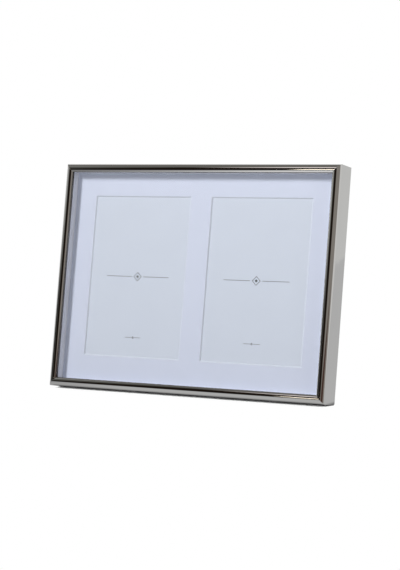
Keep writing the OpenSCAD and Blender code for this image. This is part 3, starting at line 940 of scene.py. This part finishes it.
# Room that the polished metal mirrors: a dark room with paler screens at its sides, a low brown
# cabinet, a dim ceiling and two bright panels. Only reflections see it.
room_radius = 2.0
room_dark = (0.015, 0.010, 0.007)
room_screens = [
    # colour, azimuths, elevations and softness of the edges, in degrees
    ((0.64, 0.64, 0.63), (-190, -80), (-95, 95), 4),
    ((0.40, 0.40, 0.38), (-80, -52), (-95, 95), 4),
    ((0.12, 0.12, 0.11), (-52, -38), (-95, 95), 3),
    ((0.03, 0.03, 0.03), (-80, -44), (-95, 11.5), 2),
    ((0.29, 0.265, 0.24), (13, 92), (-95, 95), 3),
    ((0.77, 0.765, 0.75), (92, 141), (-95, 95), 2),
    ((0.70, 0.70, 0.69), (141, 190), (-95, 95), 2),
    ((0.085, 0.048, 0.038), (24, 66), (-95, 10.3), 1.5),
    ((7.5, 6.7, 5.5), (-24.2, -6), (6.0, 8.4), 0.6),
    ((0.19, 0.18, 0.165), (-190, 190), (50, 95), 2),
    ((1.25, 1.14, 1.10), (-36, -6), (38, 50), 1.5),
]


def between(tree, angle, low, high, soft):
    """1 between two angles in degrees and 0 outside them, with soft edges."""
    middle = math.radians((low + high) / 2)
    off = calc(tree, "ABSOLUTE", calc(tree, "SUBTRACT", angle, middle))
    return under(tree, off, math.radians((high - low) / 2), math.radians(soft))


room_walls, tree, shader = new_material("room_walls")
place = put(tree, "TexCoord").outputs["Object"]
axes = put(tree, "SeparateXYZ", {0: place})
forward = calc(tree, "MULTIPLY", axes.outputs["Y"], -1)
azimuth = calc(tree, "ARCTAN2", axes.outputs["X"], forward)
elevation = calc(tree, "ARCSINE", calc(tree, "DIVIDE", axes.outputs["Z"], room_radius))
shown = (*room_dark, 1)
for colour, azimuths, elevations, soft in room_screens:
    mask = calc(tree, "MULTIPLY", between(tree, azimuth, *azimuths, soft),
                between(tree, elevation, *elevations, soft))
    shown = blend(tree, mask, shown, (*colour, 1))
glow = put(tree, "Emission", {"Color": shown, "Strength": 1})
tree.links.new(glow.outputs[0], tree.nodes["Material Output"].inputs["Surface"])
bm = bmesh.new()
bmesh.ops.create_icosphere(bm, subdivisions=5, radius=room_radius)
room = new_object(bm, "studio_room", [room_walls])
room.visible_camera = False
room.visible_diffuse = False
room.visible_shadow = False
room.visible_transmission = False


# Key lamp: a soft box high on the left. It is turned well to the right of the frame, so that
# its light stays even across the mat.
frame_middle = Vector((0, 0, frame_height / 2))


def soft_box(name, azimuth, height, distance, size, energy, turned=0):
    """A square lamp round the frame, placed by angles in degrees. No reflection shows it."""
    turn = math.radians(azimuth)
    rise = math.radians(height)
    side = Vector((math.sin(turn) * math.cos(rise), -math.cos(turn) * math.cos(rise),
                   math.sin(rise)))
    data = bpy.data.lights.new(name, "AREA")
    data.shape = "SQUARE"
    data.size = size
    data.energy = energy
    lamp = bpy.data.objects.new(name, data)
    bpy.context.scene.collection.objects.link(lamp)
    lamp.location = frame_middle + distance * side
    aim = distance * side - Vector((turned, 0, 0))
    lamp.rotation_euler = aim.to_track_quat("Z", "Y").to_euler()
    lamp.visible_glossy = False
    lamp.visible_transmission = False
    return lamp


key_lamp = soft_box("key_lamp", azimuth=-26.6, height=33.8, distance=1.3, size=0.36, energy=20.4,
                    turned=4.0)
key_lamp.data.color = (1.0, 0.99, 0.985)


# Fill lamp: a weak soft box far round to the right. It lifts the left side of the mat well,
# which the key lamp leaves in shade.
soft_box("fill_lamp", azimuth=64, height=14, distance=1.5, size=0.5, energy=2.3)


# Back lamp: a soft box behind and above, which shows the dark back and its hardware. It does
# not reach the front of the mat.
soft_box("back_lamp", azimuth=205, height=35, distance=1.2, size=0.6, energy=14)


# Camera: a long lens to the right of the frame and a little above its middle, turned to it and
# tilted slightly down.
lens_turn = math.radians(29.431)
lens_drop = math.radians(3.849)
lens_place = (0.702386, -1.242332, 0.181664)
lens_length = 115.379
sensor_width = 36
camera_data = bpy.data.cameras.new("camera")
camera_data.lens = lens_length
camera_data.sensor_width = sensor_width
camera = bpy.data.objects.new("camera", camera_data)
bpy.context.scene.collection.objects.link(camera)
camera.location = lens_place
camera.rotation_euler = (quarter - lens_drop, 0, lens_turn)
bpy.context.scene.camera = camera

bpy.context.scene.view_settings.view_transform = "Standard"
